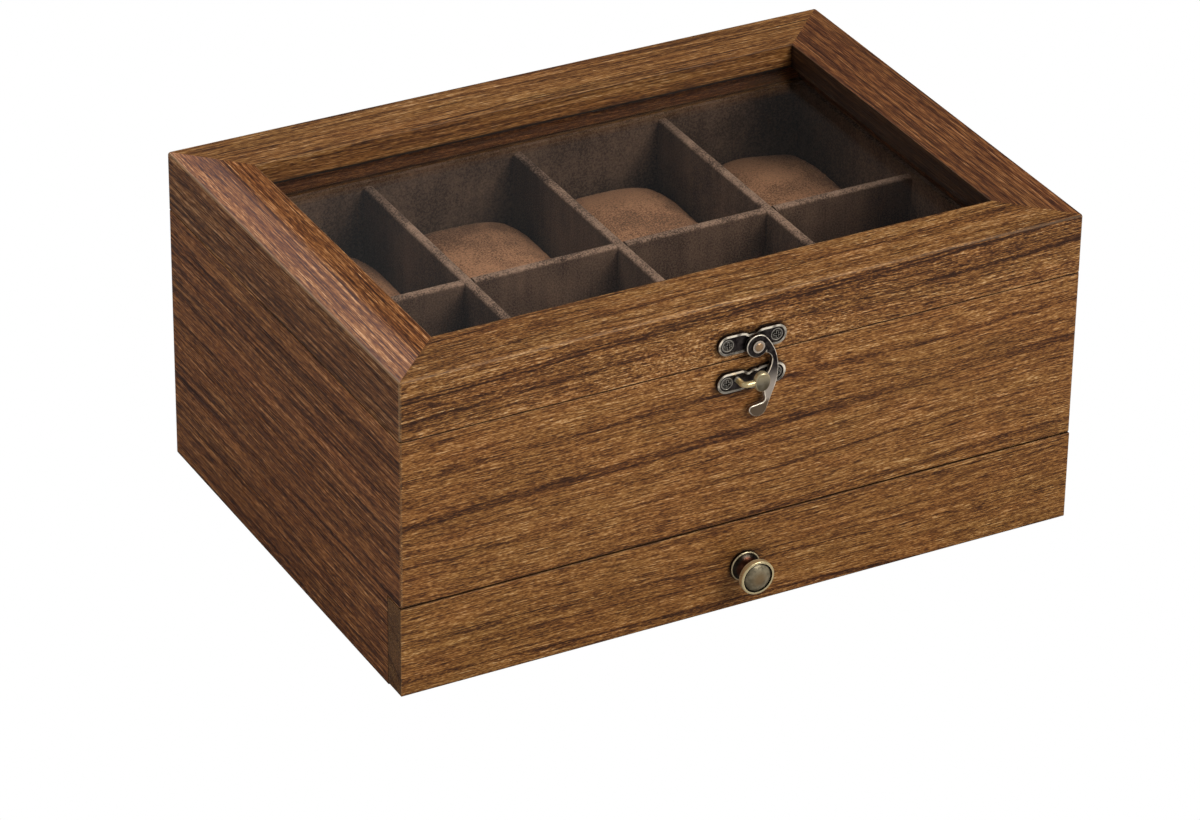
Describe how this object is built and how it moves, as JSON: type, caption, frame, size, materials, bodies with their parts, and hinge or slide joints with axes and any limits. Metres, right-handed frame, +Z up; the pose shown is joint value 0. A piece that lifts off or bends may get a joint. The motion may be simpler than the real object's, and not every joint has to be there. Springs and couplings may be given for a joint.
{
  "type": "watch box",
  "caption": "Wooden watch box with a hinged glazed lid and hook latch, a compartment tray with removable pillows and a lined drawer below.",
  "frame": {"origin": "middle of the underside, on the surface the box stands on", "axes": "+X to the right seen from the front, +Y to the back, +Z up; the drawer opens towards -Y"},
  "size_m": [0.27, 0.2062, 0.125],
  "materials": {
    "wood_case_sides": "stained walnut brown, satin lacquer, grain front to back",
    "wood_case_ends": "stained walnut brown, satin lacquer, grain left to right",
    "wood_lid_long": "stained walnut brown, satin lacquer, grain left to right",
    "wood_lid_short": "stained walnut brown, satin lacquer, grain front to back",
    "wood_drawer_front": "stained walnut brown, satin lacquer, grain left to right",
    "wood_drawer_sides": "stained brown, satin, grain front to back",
    "wood_drawer_back": "stained brown, satin, grain left to right",
    "wood_boards": "stained thin board, satin",
    "wood_bead_long": "dark stained strip, satin, grain left to right",
    "wood_bead_short": "dark stained strip, satin, grain front to back",
    "glass_pane": "clear polished",
    "velvet_lining": "short brown velvet",
    "velvet_divider": "short brown velvet",
    "velvet_pillow": "short brown velvet over stuffing",
    "velvet_drawer": "short brown velvet",
    "bronze_latch": "antique bronze, dark with bright worn edges",
    "bronze_catch": "antique bronze, olive with bright worn edges",
    "copper_rivet": "coppery antique brass, worn",
    "brass_knob": "antique brass, dark with bright worn rim",
    "bronze_screws": "dark bronze plated",
    "steel_screws": "brass plated",
    "brass_hinge": "antique brass"
  },
  "bodies": {
    "case": {"side_panel_left": "wood_case_sides", "side_panel_right": "wood_case_sides", "front_panel": "wood_case_ends", "back_panel": "wood_case_ends", "shelf": "wood_boards", "base_panel": "wood_boards", "lining_front": "velvet_lining", "lining_back": "velvet_lining", "lining_left": "velvet_lining", "lining_right": "velvet_lining", "lining_floor": "velvet_lining", "divider_long": "velvet_divider", "divider_cross_left": "velvet_divider", "divider_cross_middle": "velvet_divider", "divider_cross_right": "velvet_divider", "latch_catch": "bronze_catch", "latch_catch_screws": "bronze_screws", "hinge_left_case_leaf": "brass_hinge", "hinge_right_case_leaf": "brass_hinge", "hinge_left_pin": "brass_hinge", "hinge_right_pin": "brass_hinge", "hinge_case_screws": "steel_screws"},
    "lid": {"lid_rail_front": "wood_lid_long", "lid_rail_back": "wood_lid_long", "lid_rail_left": "wood_lid_short", "lid_rail_right": "wood_lid_short", "lid_glass": "glass_pane", "glass_bead_front": "wood_bead_long", "glass_bead_back": "wood_bead_long", "glass_bead_left": "wood_bead_short", "glass_bead_right": "wood_bead_short", "latch_plate": "bronze_latch", "latch_plate_screws": "bronze_screws", "latch_rivet": "copper_rivet", "hinge_left_lid_leaf": "brass_hinge", "hinge_right_lid_leaf": "brass_hinge", "hinge_lid_screws": "steel_screws"},
    "latch_hook": {"latch_hook": "bronze_latch"},
    "drawer": {"drawer_front": "wood_drawer_front", "drawer_side_left": "wood_drawer_sides", "drawer_side_right": "wood_drawer_sides", "drawer_back": "wood_drawer_back", "drawer_bottom": "wood_boards", "drawer_lining_floor": "velvet_drawer", "drawer_lining_front": "velvet_drawer", "drawer_lining_back": "velvet_drawer", "drawer_lining_left": "velvet_drawer", "drawer_lining_right": "velvet_drawer", "drawer_knob": "brass_knob", "drawer_knob_screw": "steel_screws"},
    "pillow_back_1": {"pillow_back_1": "velvet_pillow"},
    "pillow_back_2": {"pillow_back_2": "velvet_pillow"},
    "pillow_back_3": {"pillow_back_3": "velvet_pillow"},
    "pillow_back_4": {"pillow_back_4": "velvet_pillow"},
    "pillow_front_1": {"pillow_front_1": "velvet_pillow"},
    "pillow_front_2": {"pillow_front_2": "velvet_pillow"},
    "pillow_front_3": {"pillow_front_3": "velvet_pillow"},
    "pillow_front_4": {"pillow_front_4": "velvet_pillow"}
  },
  "joints": [
    {"name": "lid_hinge", "type": "hinge", "parent": "case", "child": "lid", "pos_m": [0, 0.0973, 0.1017], "axis": [-1, 0, 0], "range_deg": [0, 95]},
    {"name": "latch_swing", "type": "hinge", "parent": "lid", "child": "latch_hook", "pos_m": [0.0012, -0.098, 0.1067], "axis": [0, -1, 0], "range_deg": [0, 110]},
    {"name": "drawer_slide", "type": "slide", "parent": "case", "child": "drawer", "axis": [0, -1, 0], "range_m": [0, 0.13]},
    {"name": "pillow_back_1_lift", "type": "slide", "parent": "case", "child": "pillow_back_1", "axis": [0, 0, 1], "range_m": [0, 0.02]},
    {"name": "pillow_back_2_lift", "type": "slide", "parent": "case", "child": "pillow_back_2", "axis": [0, 0, 1], "range_m": [0, 0.02]},
    {"name": "pillow_back_3_lift", "type": "slide", "parent": "case", "child": "pillow_back_3", "axis": [0, 0, 1], "range_m": [0, 0.02]},
    {"name": "pillow_back_4_lift", "type": "slide", "parent": "case", "child": "pillow_back_4", "axis": [0, 0, 1], "range_m": [0, 0.02]},
    {"name": "pillow_front_1_lift", "type": "slide", "parent": "case", "child": "pillow_front_1", "axis": [0, 0, 1], "range_m": [0, 0.02]},
    {"name": "pillow_front_2_lift", "type": "slide", "parent": "case", "child": "pillow_front_2", "axis": [0, 0, 1], "range_m": [0, 0.02]},
    {"name": "pillow_front_3_lift", "type": "slide", "parent": "case", "child": "pillow_front_3", "axis": [0, 0, 1], "range_m": [0, 0.02]},
    {"name": "pillow_front_4_lift", "type": "slide", "parent": "case", "child": "pillow_front_4", "axis": [0, 0, 1], "range_m": [0, 0.02]}
  ]
}
